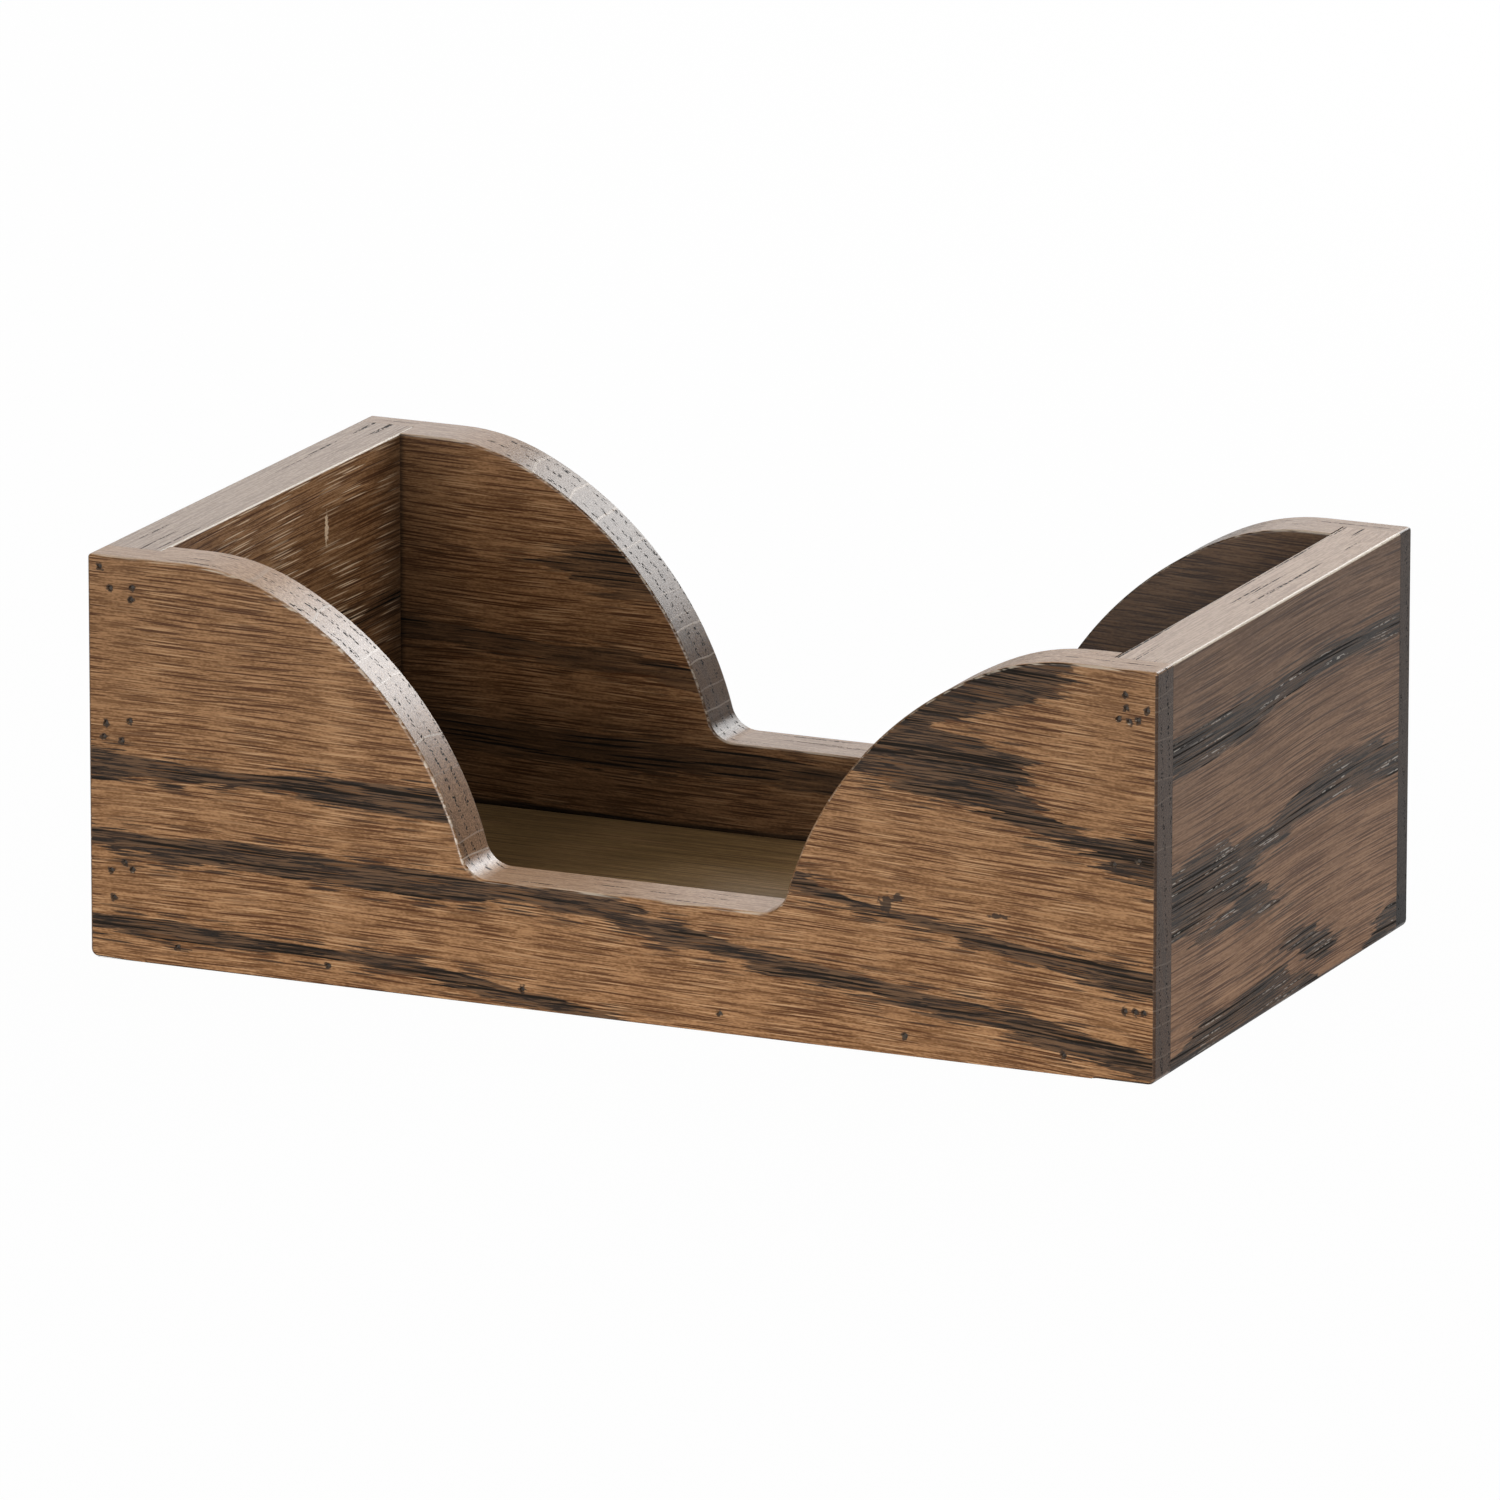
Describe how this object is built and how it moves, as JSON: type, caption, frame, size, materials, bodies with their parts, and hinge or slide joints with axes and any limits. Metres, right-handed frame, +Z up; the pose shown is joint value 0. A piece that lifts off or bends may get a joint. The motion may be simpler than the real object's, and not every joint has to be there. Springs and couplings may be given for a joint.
{
  "type": "napkin holder",
  "caption": "Open-topped wooden holder for folded napkins or guest towels, with rounded lobes on its long boards and a low notch between them for the hand.",
  "frame": {"origin": "middle of the footprint, on the surface that the holder stands on", "axes": "+X along the length, to the right seen from the front; +Y from the front board to the back board; +Z up, out of the open top"},
  "size_m": [0.235, 0.133, 0.0843],
  "materials": {
    "stained_oak": "dark walnut stain over flat-sawn oak, satin lacquer, near-black in the open grain",
    "floor_oak": "dark stain over fine straight grain, satin lacquer",
    "brad_steel": "dull dark steel, stained over with the wood"
  },
  "bodies": {
    "root": {"front_board": "stained_oak", "back_board": "stained_oak", "left_end_board": "stained_oak", "right_end_board": "stained_oak", "floor_panel": "floor_oak", "front_left_corner_brads": "brad_steel", "front_right_corner_brads": "brad_steel", "back_left_corner_brads": "brad_steel", "back_right_corner_brads": "brad_steel", "floor_front_brads": "brad_steel", "floor_back_brads": "brad_steel"}
  },
  "joints": []
}
